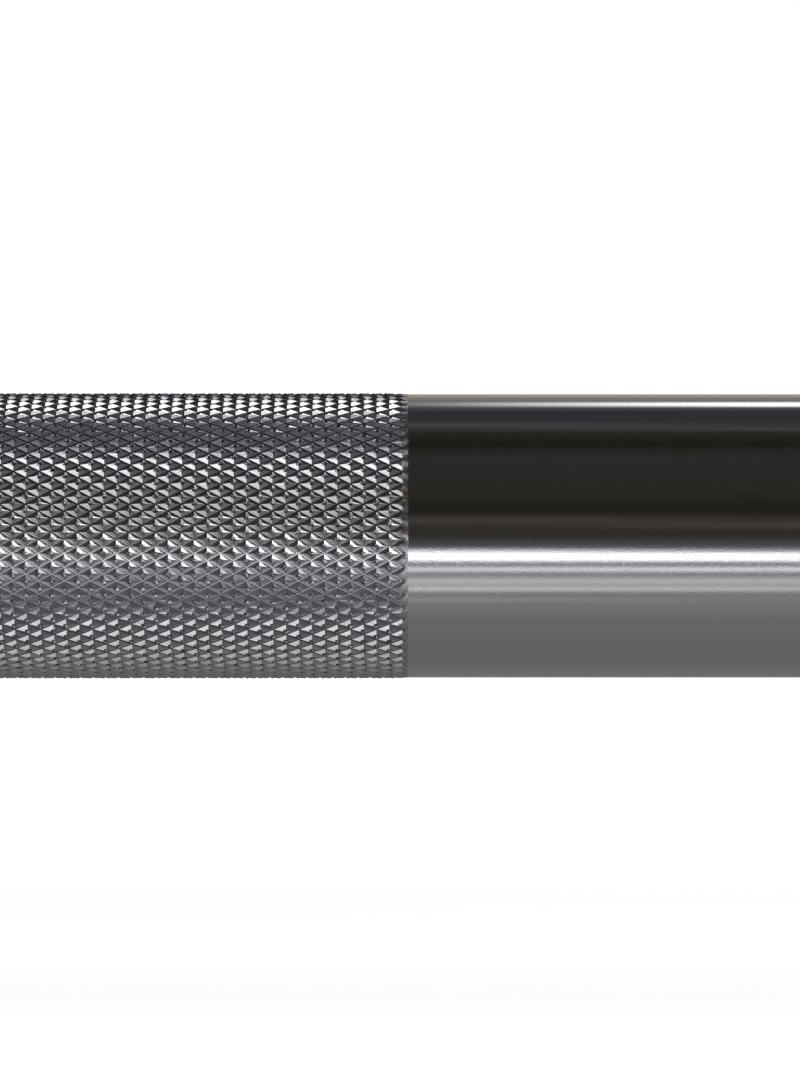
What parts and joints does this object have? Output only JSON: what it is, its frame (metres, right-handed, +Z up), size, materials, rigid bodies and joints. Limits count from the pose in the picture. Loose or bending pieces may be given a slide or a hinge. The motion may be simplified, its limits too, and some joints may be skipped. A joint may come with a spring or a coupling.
{
  "type": "powerlifting bar",
  "caption": "Straight steel bar with diamond-knurled grips, plain ring marks and free-spinning sleeves for weight plates behind wide collars.",
  "frame": {"origin": "middle of the shaft, on its axis", "axes": "+X along the bar towards the right sleeve, +Z up, +Y away from the lifter"},
  "size_m": [2.2, 0.0776, 0.0776],
  "materials": {
    "hard_chrome": "polished hard chrome, crisp on the knurl",
    "oiled_bronze": "bored bronze with a film of oil",
    "spring_steel": "ground spring steel",
    "black_rubber": "matte black rubber",
    "turned_aluminium": "fine lathe-turned aluminium"
  },
  "bodies": {
    "shaft": {"shaft": "hard_chrome", "left_shaft_retaining_ring": "spring_steel", "right_shaft_retaining_ring": "spring_steel"},
    "left_sleeve": {"left_sleeve_tube": "hard_chrome", "left_collar": "hard_chrome", "left_dust_seal": "black_rubber", "left_inner_bushing": "oiled_bronze", "left_outer_bushing": "oiled_bronze", "left_wave_spring": "spring_steel", "left_end_cap": "turned_aluminium", "left_end_cap_snap_ring": "spring_steel"},
    "left_inner_thrust_washer": {"left_inner_thrust_washer": "spring_steel"},
    "left_outer_thrust_washer": {"left_outer_thrust_washer": "spring_steel"},
    "right_sleeve": {"right_sleeve_tube": "hard_chrome", "right_collar": "hard_chrome", "right_dust_seal": "black_rubber", "right_inner_bushing": "oiled_bronze", "right_outer_bushing": "oiled_bronze", "right_wave_spring": "spring_steel", "right_end_cap": "turned_aluminium", "right_end_cap_snap_ring": "spring_steel"},
    "right_inner_thrust_washer": {"right_inner_thrust_washer": "spring_steel"},
    "right_outer_thrust_washer": {"right_outer_thrust_washer": "spring_steel"}
  },
  "joints": [
    {"name": "left_sleeve_spin", "type": "hinge", "parent": "shaft", "child": "left_sleeve", "pos_m": [-0.87, 0, 0], "axis": [1, 0, 0], "continuous": true},
    {"name": "left_inner_thrust_washer_spin", "type": "hinge", "parent": "shaft", "child": "left_inner_thrust_washer", "pos_m": [-0.6693, 0, 0], "axis": [1, 0, 0], "continuous": true},
    {"name": "left_outer_thrust_washer_spin", "type": "hinge", "parent": "shaft", "child": "left_outer_thrust_washer", "pos_m": [-1.0691, 0, 0], "axis": [1, 0, 0], "continuous": true},
    {"name": "right_sleeve_spin", "type": "hinge", "parent": "shaft", "child": "right_sleeve", "pos_m": [0.87, 0, 0], "axis": [1, 0, 0], "continuous": true},
    {"name": "right_inner_thrust_washer_spin", "type": "hinge", "parent": "shaft", "child": "right_inner_thrust_washer", "pos_m": [0.6693, 0, 0], "axis": [1, 0, 0], "continuous": true},
    {"name": "right_outer_thrust_washer_spin", "type": "hinge", "parent": "shaft", "child": "right_outer_thrust_washer", "pos_m": [1.0691, 0, 0], "axis": [1, 0, 0], "continuous": true}
  ]
}
